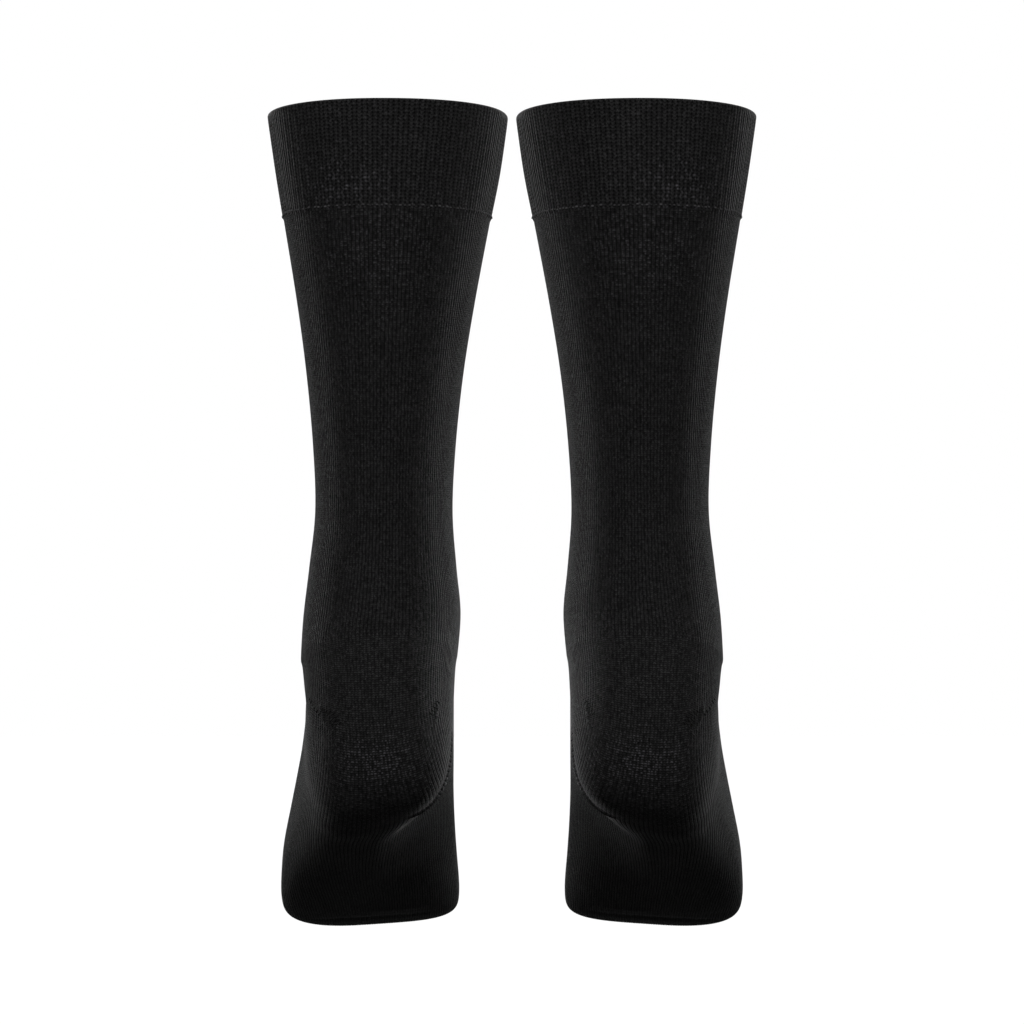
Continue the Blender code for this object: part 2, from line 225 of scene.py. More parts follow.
def quarter(side, other, ridge, fullness):
    """Ring points from a side point to a back or front point. other is the ring's point on the other side."""
    angle = np.linspace(0, math.pi / 2, RING_STEPS + 1)[:, None]
    beside, along = np.cos(angle) ** (2 / fullness), np.sin(angle) ** (2 / fullness)
    beside[-1] = 0.0
    across = ridge[0] + (side[0] - ridge[0]) * beside
    slope = (other[1:] - side[1:]) / (other[0] - side[0])
    chord = side[1:] + slope * (across - side[0])
    return np.hstack([across, chord + (ridge[1:] - chord[-1]) * along])


def spaced(line, count, gather=0.0):
    """A line cut into pieces, which get shorter towards its middle by gather."""
    reach = np.concatenate([[0.0], np.cumsum(np.linalg.norm(np.diff(line, axis=0), axis=1))])
    share = np.linspace(-1, 1, count + 1)
    share = share - gather * np.sin(math.pi * share) / math.pi
    wanted = (share + 1) / 2 * reach[-1]
    return np.column_stack([np.interp(wanted, reach, line[:, axis]) for axis in range(3)])


def gather_at(place):
    """How far the heel's loops crowd to its middle."""
    share = (place - HEEL_START) / (HEEL_END - HEEL_START)
    return GATHER * math.sin(math.pi * share) if 0 < share < 1 else 0.0


def skin(places, half=HALF):
    """Grid of points on the right sock's outside: a row a place, from the outer side round the back."""
    places = np.asarray(places, float)
    back = lengthwise_line([(s.middle_x, s.back_y, s.back_z) for s in SECTIONS], places)
    front = lengthwise_line([(s.middle_x, s.front_y, s.front_z) for s in SECTIONS], places)
    inner = lengthwise_line([(s.inner_x, s.inner_y, s.inner_z) for s in SECTIONS], places)
    outer = lengthwise_line([(s.outer_x, s.outer_y, s.outer_z) for s in SECTIONS], places)
    widths = np.array([(s.full_inner, s.full_outer, s.full_front) for s in SECTIONS])
    full_inner, full_outer, full_front = eased(widths, np.gradient(widths, axis=0), places).T
    rows = []
    for row, place in enumerate(places):
        rear = np.vstack([quarter(outer[row], inner[row], back[row], full_outer[row]),
                          quarter(inner[row], outer[row], back[row], full_inner[row])[-2::-1]])
        fore = np.vstack([quarter(inner[row], outer[row], front[row], full_front[row]),
                          quarter(outer[row], inner[row], front[row], full_front[row])[-2::-1]])
        rows.append(np.vstack([spaced(rear, half, gather_at(place))[:-1], spaced(fore, half)[:-1]]))
    return np.array(rows)


def unit(vectors):
    return vectors / np.linalg.norm(vectors, axis=-1, keepdims=True)


def outward(places):
    """Directions square to the skin at its grid points, the same for every part that meets there."""
    places = np.asarray(places, float)
    last = len(SECTIONS) - 1
    ahead = skin(np.minimum(places + NUDGE, last)) - skin(np.maximum(places - NUDGE, 0))
    grid = skin(places)
    around = np.roll(grid, -1, axis=1) - np.roll(grid, 1, axis=1)
    return unit(np.cross(around, ahead))


def down_to(places):
    """Mean length of the skin from the cuff's end to each place."""
    dense = np.linspace(STATION["cuff end"], len(SECTIONS) - 1, LENGTH_STEPS)
    steps = np.linalg.norm(np.diff(skin(dense, LENGTH_HALF), axis=0), axis=2).mean(axis=1)
    return np.interp(places, dense, np.concatenate([[0.0], np.cumsum(steps)]))


def strain_at(points):
    """How far the cloth is stretched open at each point, from 0 to 1. It sets how many painted glints the point
    gets.
    """
    amount = np.zeros(len(points))
    for spot in GLINT_STRAIN_SPOTS:
        away = (points - (spot.x, spot.y, spot.z)) / (spot.width, spot.depth, spot.height)
        amount = np.maximum(amount, spot.amount * np.exp(-(away ** 2).sum(axis=1)))
    return amount


def crease_line(route):
    """Points of the skin along a crease's route."""
    spots = np.array(route, float)
    share = np.linspace(0, len(spots) - 1, CREASE_STEPS)
    place, wale = (np.interp(share, np.arange(len(spots)), spots[:, axis]) for axis in range(2))
    return skin(place)[np.arange(CREASE_STEPS), np.rint(wale * WALE_COLUMNS).astype(int)]


CREASE_LINES = [crease_line(crease.route) for crease in CREASES]


def creased(points):
    """How far the creases move each point outward."""
    flat = points.reshape(-1, 3)
    moved = np.zeros(len(flat))
    for crease, line in zip(CREASES, CREASE_LINES):
        reach = CREASE_REACH * crease.width
        inside = (flat > line.min(axis=0) - reach) & (flat < line.max(axis=0) + reach)
        near = np.nonzero(inside.all(axis=1))[0]
        away = np.linalg.norm(flat[near, None] - line, axis=2)
        fade = np.sin(math.pi * (away.argmin(axis=1) + 0.5) / CREASE_STEPS) ** 0.5
        moved[near] += crease.height * fade * np.exp(-(away.min(axis=1) / crease.width) ** 2)
    return moved.reshape(*points.shape[:-1], 1)


# ---- formulas in node trees ----

class Term:
    """A value in a node tree. A sum on terms adds the maths nodes that work it out."""

    def __init__(self, tree, socket):
        self.tree, self.socket = tree, socket

    def maths(self, operation, *others):
        node = self.tree.nodes.new("ShaderNodeMath")
        node.operation = operation
        for place, value in enumerate((self, *others)):
            if isinstance(value, Term):
                self.tree.links.new(value.socket, node.inputs[place])
            else:
                node.inputs[place].default_value = value
        return Term(self.tree, node.outputs[0])

    def __add__(self, other):
        return self.maths("ADD", other)

    def __sub__(self, other):
        return self.maths("SUBTRACT", other)

    def __mul__(self, other):
        return self.maths("MULTIPLY", other)

    def __pow__(self, other):
        return self.maths("POWER", other)

    def __rsub__(self, other):
        return (self * -1.0) + other

    def loose(self):
        """What is left over a whole number."""
        return self.maths("FRACT")

    def whole(self):
        return self.maths("FLOOR")

    def wave(self, turn=math.pi):
        return (self * turn).maths("SINE")

    def size(self):
        return self.maths("ABSOLUTE")

    def least(self, other):
        return self.maths("MINIMUM", other)

    def most(self, other):
        return self.maths("MAXIMUM", other)

    def step(self, low, high):
        """0 below low and 1 above high, with a soft change between."""
        node = self.tree.nodes.new("ShaderNodeMapRange")
        node.interpolation_type = "SMOOTHSTEP"
        for socket, value in zip(("Value", "From Min", "From Max"), (self, low, high)):
            if isinstance(value, Term):
                self.tree.links.new(value.socket, node.inputs[socket])
            else:
                node.inputs[socket].default_value = value
        return Term(self.tree, node.outputs["Result"])


def jersey_round(wale):
    """Cross profile of a column of plain loops: 0 in the gap beside it, and a slight dip between its legs."""
    across = wale.loose()
    return across.wave().most(0.0) ** 0.9 * 0.65 + across.wave(2 * math.pi).size() ** 0.9 * 0.35


def off_middle(wale):
    """0 at the middle of a column of loops, and 1 between two columns."""
    return (wale.loose() - 0.5).size() * 2.0


def strand_round(wale, course, slant):
    """Profile of the slanting legs of the loops along a column."""
    return (course - off_middle(wale) * slant).loose().wave().most(0.0) ** 0.7


def rib_column(wale):
    """Cross profile of a rib's columns, and 1 on every second one, which lies lower."""
    beside = off_middle(wale)
    return (1.0 - beside * beside).most(0.0), (wale * 0.5).loose().step(0.49, 0.51)


def rib_round(wale, course):
    """Profile of a stretched rib: a raised column of V loops, then a lower one crossed by bars."""
    column, sunk = rib_column(wale)
    strand = strand_round(wale, course, 0.7)
    bar = strand_round(wale, course + 0.3, -0.35)
    return column * ((1.0 - sunk) * (strand * 0.45 + 0.55) + sunk * (bar * 0.45 + 0.2))


def rib_holes(wale, course):
    """Where the ground shows beside a rib's columns: a hole a course."""
    return off_middle(wale).step(0.35, 0.9) * (course + 0.35).loose().wave().most(0.0) ** 1.5


# ---- knitted relief, by Geometry Nodes ----

def new_tree(name, sizes):
    """A Geometry Nodes tree that takes a shape, the named sizes and a material."""
    tree = bpy.data.node_groups.new(name, "GeometryNodeTree")
    tree.interface.new_socket("Geometry", in_out="OUTPUT", socket_type="NodeSocketGeometry")
    tree.interface.new_socket("Geometry", in_out="INPUT", socket_type="NodeSocketGeometry")
    for label in sizes:
        tree.interface.new_socket(label, in_out="INPUT", socket_type="NodeSocketFloat")
    tree.interface.new_socket("Material", in_out="INPUT", socket_type="NodeSocketMaterial")
    return tree, tree.nodes.new("NodeGroupInput"), tree.nodes.new("NodeGroupOutput")


def named(tree, name, kind="FLOAT"):
    node = tree.nodes.new("GeometryNodeInputNamedAttribute")
    node.data_type = kind
    node.inputs["Name"].default_value = name
    return node.outputs["Attribute"]


def close_tree(tree, source, shape, finish):
    """Ends a tree in Realize Instances and Set Material."""
    real = tree.nodes.new("GeometryNodeRealizeInstances")
    dressed = tree.nodes.new("GeometryNodeSetMaterial")
    tree.links.new(shape, real.inputs["Geometry"])
    tree.links.new(real.outputs["Geometry"], dressed.inputs["Geometry"])
    tree.links.new(source.outputs["Material"], dressed.inputs["Material"])
    tree.links.new(dressed.outputs["Geometry"], finish.inputs["Geometry"])


def relief_tree(name, profile):
    """Raises knitted loops on a cloth's outside, along the stored outward directions."""
    tree, source, finish = new_tree(name, ("Height", "Sunk"))
    wale, course = Term(tree, named(tree, "wale")), Term(tree, named(tree, "course"))
    raised = profile(wale, course) * Term(tree, source.outputs["Height"]) - Term(tree, source.outputs["Sunk"])
    amount = raised * Term(tree, named(tree, "relief"))
    scale = tree.nodes.new("ShaderNodeVectorMath")
    scale.operation = "SCALE"
    tree.links.new(named(tree, "away", "FLOAT_VECTOR"), scale.inputs[0])
    tree.links.new(amount.socket, scale.inputs["Scale"])
    move = tree.nodes.new("GeometryNodeSetPosition")
    tree.links.new(source.outputs["Geometry"], move.inputs["Geometry"])
    tree.links.new(scale.outputs[0], move.inputs["Offset"])
    close_tree(tree, source, move.outputs["Geometry"], finish)
    return tree


def stitch_tree():
    """Lays a yarn loop at each point of a path, turned by the stored directions."""
    tree, source, finish = new_tree("seam_stitches", ("Length", "Rise", "Yarn Radius"))
    arch = tree.nodes.new("GeometryNodeCurveQuadraticBezier")
    arch.inputs["Resolution"].default_value = ARCH_STEPS
    half = Term(tree, source.outputs["Length"]) * 0.5
    rise = Term(tree, source.outputs["Rise"])
    for socket, along, up in (("Start", -1.0, -0.6), ("Middle", 0.0, 1.8), ("End", 1.0, -0.6)):
        spot = tree.nodes.new("ShaderNodeCombineXYZ")
        tree.links.new((half * along).socket, spot.inputs["X"])
        tree.links.new((rise * up).socket, spot.inputs["Z"])
        tree.links.new(spot.outputs[0], arch.inputs[socket])
    profile = tree.nodes.new("GeometryNodeCurvePrimitiveCircle")
    profile.inputs["Resolution"].default_value = YARN_SIDES
    tree.links.new(source.outputs["Yarn Radius"], profile.inputs["Radius"])
    tube = tree.nodes.new("GeometryNodeCurveToMesh")
    tube.inputs["Fill Caps"].default_value = True
    tree.links.new(arch.outputs["Curve"], tube.inputs["Curve"])
    tree.links.new(profile.outputs["Curve"], tube.inputs["Profile Curve"])
    smooth = tree.nodes.new("GeometryNodeSetShadeSmooth")
    tree.links.new(tube.outputs["Mesh"], smooth.inputs["Geometry"])
    upright = tree.nodes.new("FunctionNodeAlignRotationToVector")
    upright.axis = "Z"
    tree.links.new(named(tree, "away", "FLOAT_VECTOR"), upright.inputs["Vector"])
    facing = tree.nodes.new("FunctionNodeAlignRotationToVector")
    facing.axis, facing.pivot_axis = "X", "Z"
    tree.links.new(upright.outputs["Rotation"], facing.inputs["Rotation"])
    tree.links.new(named(tree, "along", "FLOAT_VECTOR"), facing.inputs["Vector"])
    laid = tree.nodes.new("GeometryNodeInstanceOnPoints")
    tree.links.new(source.outputs["Geometry"], laid.inputs["Points"])
    tree.links.new(smooth.outputs["Geometry"], laid.inputs["Instance"])
    tree.links.new(facing.outputs["Rotation"], laid.inputs["Rotation"])
    tree.links.new(named(tree, "stretch"), laid.inputs["Scale"])
    close_tree(tree, source, laid.outputs["Instances"], finish)
    return tree


def grown(piece, tree, **sizes):
    """Runs a tree on a piece and keeps the result as its plain mesh."""
    modifier = piece.modifiers.new(tree.name, "NODES")
    modifier.node_group = tree
    sockets = {socket.name: socket.identifier for socket in tree.interface.items_tree
               if socket.in_out == "INPUT"}
    for label, value in sizes.items():
        modifier[sockets[label.replace("_", " ")]] = value
    graph = bpy.context.evaluated_depsgraph_get()
    mesh = bpy.data.meshes.new_from_object(piece.evaluated_get(graph), preserve_all_data_layers=True,
                                           depsgraph=graph)
    piece.modifiers.clear()
    old, piece.data = piece.data, mesh
    bpy.data.meshes.remove(old)
    mesh.name = piece.name
    return piece


# ---- finishes ----

LOOP_SOCKETS = ("Loop Share", "Column Gap", "Loop Gap", "Lean", "Wander")
FIBRE_SOCKETS = ("Fibre Scale", "Mottle Scale")


def new_group(name, inputs, outputs):
    group = bpy.data.node_groups.new(name, "ShaderNodeTree")
    for way, labels in (("INPUT", inputs), ("OUTPUT", outputs)):
        for label in labels:
            group.interface.new_socket(label, in_out=way, socket_type="NodeSocketFloat")
    return group, group.nodes.new("NodeGroupInput"), group.nodes.new("NodeGroupOutput")


def group_node(tree, group, labels, values):
    """A node that runs a group with the given values."""
    node = tree.nodes.new("ShaderNodeGroup")
    node.node_tree = group
    for label, value in zip(labels, values):
        node.inputs[label].default_value = value
    return node


def noise(tree, vector, scale, detail, rough=0.5):
    node = tree.nodes.new("ShaderNodeTexNoise")
    node.inputs["Scale"].default_value = scale
    node.inputs["Detail"].default_value = detail
    node.inputs["Roughness"].default_value = rough
    tree.links.new(vector, node.inputs["Vector"])
    return Term(tree, node.outputs[0])


def loops_group(name, profile):
    """Knitted loops on the piece's own map, whose units are wales and courses."""
    group, source, finish = new_group(name, LOOP_SOCKETS, ("Height", "Gap", "Tone", "Crest"))
    place = group.nodes.new("ShaderNodeUVMap")
    place.uv_map = "knit"
    split = group.nodes.new("ShaderNodeSeparateXYZ")
    group.links.new(place.outputs["UV"], split.inputs[0])
    *shape, wander = (Term(group, source.outputs[label]) for label in LOOP_SOCKETS)
    across, along = (noise(group, place.outputs["UV"], scale, 2.0) - 0.5 for scale in (0.55, 0.37))
    wale = Term(group, split.outputs["X"]) + across * wander
    course = Term(group, split.outputs["Y"]) + along * wander * 2.5
    height, gap = profile(wale, course, *shape)
    cell = group.nodes.new("ShaderNodeCombineXYZ")
    group.links.new((wale * 2.0).whole().socket, cell.inputs["X"])
    group.links.new(course.whole().socket, cell.inputs["Y"])
    chance = group.nodes.new("ShaderNodeTexWhiteNoise")
    group.links.new(cell.outputs[0], chance.inputs["Vector"])
    crest = course.loose().wave().most(0.0) ** 4.0 * wale.loose().wave().most(0.0)
    for socket, value in (("Height", height), ("Gap", gap), ("Tone", Term(group, chance.outputs["Value"])),
                          ("Crest", crest)):
        group.links.new(value.socket, finish.inputs[socket])
    return group


def jersey_loops(wale, course, loop_share, column_gap, loop_gap, lean):
    """Height and gaps of plain loops."""
    column = jersey_round(wale)
    strand = strand_round(wale, course, lean)
    height = column * (1.0 - loop_share + strand * loop_share)
    return height, ((1.0 - column.step(0.1, 0.9)) * column_gap).most((1.0 - strand.step(0.0, 0.9)) * loop_gap)


def rib_loops(wale, course, loop_share, column_gap, loop_gap, lean):
    """Height and gaps of the rib's loops."""
    column, sunk = rib_column(wale)
    strand = (1.0 - sunk) * strand_round(wale, course, lean) + sunk * strand_round(wale, course + 0.3, -0.4)
    height = column * (1.0 - loop_share + strand * loop_share)
    return height, (rib_holes(wale, course) * column_gap).most((1.0 - strand.step(0.0, 0.8)) * loop_gap)


def fibres_group():
    """Fine yarn fibres and the cloth's slow change of tone, on Object coordinates."""
    made_here = ("Fibres", "Mottle")
    group, source, finish = new_group("yarn_fibres", FIBRE_SOCKETS, made_here)
    place = group.nodes.new("ShaderNodeTexCoord").outputs["Object"]
    for label, scale, detail in zip(made_here, FIBRE_SOCKETS, (2.0, 3.0)):
        made = noise(group, place, 1.0, detail, 0.6)
        group.links.new(source.outputs[scale], made.socket.node.inputs["Scale"])
        group.links.new(made.socket, finish.inputs[label])
    return group


def cloth_finish(name, colour, loops, fibres, look):
    """Black yarn: painted shade makes it darker in the gaps between loops, and its tone changes at random from
    loop to loop. Painted highlights (glints) show on its crests, mostly where the cloth is stretched."""
    material = bpy.data.materials.new(name)
    material.use_nodes = True
    tree = material.node_tree
    shader = tree.nodes["Principled BSDF"]
    shader.inputs["Metallic"].default_value = 0.0
    shader.inputs["Specular IOR Level"].default_value = look["shine"]
    shader.inputs["Sheen Weight"].default_value = look["sheen"]
    shader.inputs["Sheen Roughness"].default_value = look["sheen_roughness"]
    shader.inputs["Sheen Tint"].default_value = (1.0, 1.0, 1.0, 1.0)
    knit = group_node(tree, loops, LOOP_SOCKETS, look["loops"])
    yarn = group_node(tree, fibres, FIBRE_SOCKETS, look["scales"])
    pulled = tree.nodes.new("ShaderNodeAttribute")
    pulled.attribute_name = "strain"
    strain = Term(tree, pulled.outputs["Fac"])
    gap, tone = (Term(tree, knit.outputs[label]) for label in ("Gap", "Tone"))
    fine, mottle = (Term(tree, yarn.outputs[label]) for label in ("Fibres", "Mottle"))
    # Painted shade in the gaps between loops, times a random tone from loop to loop and the tone of the fibres
    # and mottle
    shade = (1.0 - gap * look["gap_dark"]) * ((tone - 0.5) * look["tone"] + 1.0)
    shade = shade * ((fine - 0.5) * look["fibres"] + 1.0).most(0.1) * ((mottle - 0.5) * look["mottle"] + 1.0)
    height = Term(tree, knit.outputs["Height"])
    # Painted highlights: bright glints added to the base colour on the loops' crests, mostly where the cloth is
    # stretched
    pull = tone + strain * look["strained"] - look["glint_from"]
    glint = pull.most(0.0) * Term(tree, knit.outputs["Crest"]) * fine * look["glint"]
    colour_with_painted_shade, painted_gleam, both = (tree.nodes.new("ShaderNodeVectorMath") for _ in range(3))
    for node, tint, scale in ((colour_with_painted_shade, colour, shade), (painted_gleam, PAINTED_GLINT_TINT, glint)):
        node.operation = "SCALE"
        node.inputs[0].default_value = tint
        tree.links.new(scale.socket, node.inputs["Scale"])
        tree.links.new(node.outputs[0], both.inputs[0 if node == colour_with_painted_shade else 1])
    both.operation = "ADD"
    tree.links.new(both.outputs[0], shader.inputs["Base Color"])
    rough = fine * look["fibre_rough"] + gap * look["gap_rough"] + look["roughness"]
    tree.links.new(rough.least(1.0).socket, shader.inputs["Roughness"])
    relief = tree.nodes.new("ShaderNodeBump")
    relief.inputs["Distance"].default_value = look["depth"]
    lift = height + tone * look["uneven"] + fine * look["fuzz"]
    tree.links.new(lift.socket, relief.inputs["Height"])
    tree.links.new(relief.outputs["Normal"], shader.inputs["Normal"])
    return material


# BLACK is the yarn's own colour. The heel's and toes' copy is set a little darker and the foot's a little
# lighter, for how the light falls there: painted shade and painted light.
BLACK = (0.029, 0.0287, 0.0293)
HEEL_BLACK_PAINTED_SHADE = (0.0285, 0.0283, 0.0288)
SOLE_BLACK_PAINTED_LIGHT = (0.031, 0.0316, 0.0316)
SEAM_BLACK = (0.045, 0.044, 0.046)
# The transfer row's yarn, about three times lighter than the cloth: painted highlight where light catches its
# loops
TRANSFER_PAINTED_HIGHLIGHT = (0.085, 0.083, 0.087)
# Near-black yarn for the heel's slots: painted shadow
SLOT_PAINTED_SHADOW = (0.006, 0.006, 0.006)
# Slightly violet tint of the painted highlights (glints) on the loops' crests
PAINTED_GLINT_TINT = (0.97, 0.93, 1.06)
jersey = loops_group("plain_loops", jersey_loops)
rib = loops_group("rib_loops", rib_loops)
fibres = fibres_group()
# How each finish looks. loops holds the values of LOOP_SOCKETS, and scales those of FIBRE_SOCKETS. Some keys
# set the painted shade in the gaps between loops and the painted highlights (glints) on their crests.
PLAIN = dict(shine=0.06, sheen=0.4, sheen_roughness=0.2, roughness=0.68, fibre_rough=0.2, gap_rough=0.1,
             depth=0.00025, uneven=0.2, fuzz=0.4, loops=(0.4, 0.75, 1.0, 0.7, 0.3), scales=(1400.0, 90.0),
             gap_dark=0.95, tone=0.9, fibres=2.2, mottle=0.6, glint=0.35, glint_from=0.92, strained=0.6)
RIBBED = dict(PLAIN, loops=(0.4, 1.0, 0.8, 0.7, 0.3), tone=0.7, fibres=1.8, depth=0.0002)
DENSE = dict(PLAIN, loops=(0.4, 0.45, 1.2, 0.35, 0.15), sheen=0.3)
SOLE = dict(PLAIN, loops=(0.3, 1.0, 0.3, 0.6, 0.15), tone=0.5, fibres=1.4, sheen=0.3)
SEWN = dict(PLAIN, gap_dark=0.0)
SHADOW = dict(SEWN, sheen=0.0, shine=0.0, glint=0.0)
plain_knit = cloth_finish("plain_knit_cloth", BLACK, jersey, fibres, PLAIN)
foot_knit = cloth_finish("foot_cloth", SOLE_BLACK_PAINTED_LIGHT, jersey, fibres, SOLE)
heel_knit = cloth_finish("heel_toe_cloth", HEEL_BLACK_PAINTED_SHADE, jersey, fibres, DENSE)
ribbed_knit = cloth_finish("ribbed_cuff_cloth", BLACK, rib, fibres, RIBBED)
seam_yarn = cloth_finish("seam_yarn", SEAM_BLACK, jersey, fibres, SEWN)
transfer_yarn = cloth_finish("transfer_yarn", TRANSFER_PAINTED_HIGHLIGHT, jersey, fibres, SEWN)
slot_shadow_yarn = cloth_finish("open_slot_shadow", SLOT_PAINTED_SHADOW, jersey, fibres, SHADOW)
jersey_relief = relief_tree("plain_relief", lambda wale, course: jersey_round(wale))
rib_relief = relief_tree("rib_relief", rib_round)


# ---- pieces ----

# A face corner: its layer (0 the outside, 1 the lining), its grid row and column, then the cell, and the corner
# of it, that give its place on the knit map. A cell's corners run down one side and up the other.
LAYER, ROW, COLUMN, CELL_ROW, CELL_COLUMN, CELL_CORNER = range(6)
DOWN = np.array((0, 1, 1, 0))
ON = np.array((0, 0, 1, 1))


def placed(name, data):
    thing = bpy.data.objects.new(name, data)
    bpy.context.scene.collection.objects.link(thing)
    return thing


def store(mesh, label, values):
    """Keeps a number or a direction at each point of a mesh."""
    kind, field = ("FLOAT", "value") if values.ndim == 1 else ("FLOAT_VECTOR", "vector")
    mesh.attributes.new(label, kind, "POINT").data.foreach_set(field, values.astype(np.float32).ravel())


def cell_map(wale, course):
    """Each cell's four corners on the knit map, from the wale and course of the grid's points."""
    wale, course = np.broadcast_arrays(wale, course)
    both = np.stack([wale, course], axis=-1).astype(float)
    return np.stack([both[:-1, :-1], both[1:, :-1], both[1:, 1:], both[:-1, 1:]], axis=2)


def cloth_faces(mask, layer, stride):
    """Faces on the masked cells of every stride-th row. Those of the lining look the other way."""
    row, column = (found[:, None] for found in np.nonzero(mask[::stride]))
    blank = np.zeros((len(row), 4), int)
    faces = np.stack([blank + layer, (row + DOWN) * stride, column + ON, row * stride + DOWN * (stride - 1),
                      blank + column, blank + np.arange(4)], axis=2)
    return faces[:, ::-1] if layer else faces


def level_rims(mask, closed):
    """Faces that join outside and lining along the rows where the cloth ends, unless that end is shut."""
    padded = np.pad(mask, ((1, 1), (0, 0)))
    padded[-1] = closed
    faces = []
    for starts, shift, corners in ((padded[1:] & ~padded[:-1], 0, (0, 3)),
                                   (padded[:-1] & ~padded[1:], 1, (2, 1))):
        row, column = np.nonzero(starts)
        edge = [np.stack([row * 0, row, column + ON[corner], row - shift, column, row * 0 + corner], axis=1)
                for corner in corners]
        lining = [points + np.array((1, 0, 0, 0, 0, 0)) for points in edge[::-1]]
        faces.append(np.stack(edge + lining, axis=1))
    return np.concatenate(faces)


def upright_rims(mask, stride, ring):
    """Triangles that join the outside to the lining along the columns where the cloth ends."""
    faces = []
    rows, columns = mask.shape
    nothing = np.zeros(rows, bool)
    for column in range(columns if ring else columns + 1):
        after = mask[:, column] if column < columns else nothing
        before = mask[:, column - 1] if column or ring else nothing
        for starts, cell, corner in ((after & ~before, column, 0), (before & ~after, column - 1, 3)):
            for first in np.nonzero(starts[::stride])[0] * stride:
                middle, last = first + stride // 2, first + stride
                strip = [((0, row + 1), (0, row), (1, first if row < middle else last))
                         for row in range(first, last)] + [((0, middle), (1, first), (1, last))]
                for face in strip:
                    spots = [(layer, row, column, min(row, rows - 1), cell % columns, corner)
                             for layer, row in face]
                    faces.append(spots if corner == 0 else spots[::-1])
    return np.array(faces, int).reshape(-1, 3, 6)


def shell(name, side, grid, lining, away, relief, cells, mask, stride, ring=True, closed=False):
    """A closed thin shell. grid, lining and away are points and directions, a row a place. cells is the knit
    map, and relief says how far each row takes part in the knitted relief. With no stride the grid is the whole
    shell, whose last row joins its first. A closed end's last row is doubled onto itself and becomes a seam."""
    columns = grid.shape[1]
    moved = creased(grid) * away
    grid, lining = grid + moved, lining + moved
    if stride:
        quads = np.concatenate([cloth_faces(mask, 0, 1), cloth_faces(mask, 1, stride)])
        rounded = len(quads)
        quads = np.concatenate([quads, level_rims(mask, closed)])
        thirds = upright_rims(mask, stride, ring)
    else:
        quads, thirds = cloth_faces(mask, 0, 1), np.zeros((0, 3, 6), int)
        rounded = len(quads)
        last = cloth_faces(mask[:1], 0, 1)
        last[:, :, ROW] = np.where(DOWN, 0, len(mask))
        last[:, :, CELL_ROW] = len(mask) - 1
        last[:, :, CELL_CORNER] = np.where(ON, 2, 1)
        quads = np.concatenate([quads, last])
    corners = np.concatenate([quads.reshape(-1, 6), thirds.reshape(-1, 6)])
    layer, row, column = corners[:, LAYER], corners[:, ROW], corners[:, COLUMN] % columns
    column = np.where(closed & (row == len(mask)), np.minimum(column, (columns - column) % columns), column)
    loops = cells[corners[:, CELL_ROW], corners[:, CELL_COLUMN], corners[:, CELL_CORNER]]
    _, first, number = np.unique((layer * len(grid) + row) * columns + column, return_index=True,
                                 return_inverse=True)
    outside = layer[first] == 0
    points = np.where(outside[:, None], grid[row[first], column[first]], lining[row[first], column[first]])
    starts = np.concatenate([np.arange(len(quads)) * 4, len(quads) * 4 + np.arange(len(thirds)) * 3])
    spots = loops[first]
    flip = np.array((side, 1, 1))
    mesh = bpy.data.meshes.new(name)
    mesh.vertices.add(len(points))
    mesh.vertices.foreach_set("co", (points * MM * flip).astype(np.float32).ravel())
    mesh.loops.add(len(corners))
    mesh.loops.foreach_set("vertex_index", number.astype(np.int32).ravel())
    mesh.polygons.add(len(starts))
    mesh.polygons.foreach_set("loop_start", starts.astype(np.int32))
    mesh.update(calc_edges=True)
    mesh.uv_layers.new(name="knit").data.foreach_set("uv", loops.astype(np.float32).ravel())
    store(mesh, "relief", np.where(outside, relief[row[first]], 0.0))
    store(mesh, "wale", spots[:, 0])
    store(mesh, "course", spots[:, 1])
    # How many painted glints each point gets, from how far the cloth is stretched there
    store(mesh, "strain", strain_at(points))
    store(mesh, "away", away[row[first], column[first]] * flip)
    if side > 0:
        mesh.flip_normals()
    mesh.shade_smooth()
    mesh.polygons.foreach_set("use_smooth", np.arange(len(starts)) < rounded)
    edges = np.empty(len(corners), np.int32)
    mesh.loops.foreach_get("edge_index", edges)
    mesh.edges.foreach_set("use_edge_sharp", np.isin(np.arange(len(mesh.edges)), edges[rounded * 4:]))
    return placed(name, mesh)


def wales_of(columns):
    return np.arange(columns + 1)[None, :] / WALE_COLUMNS


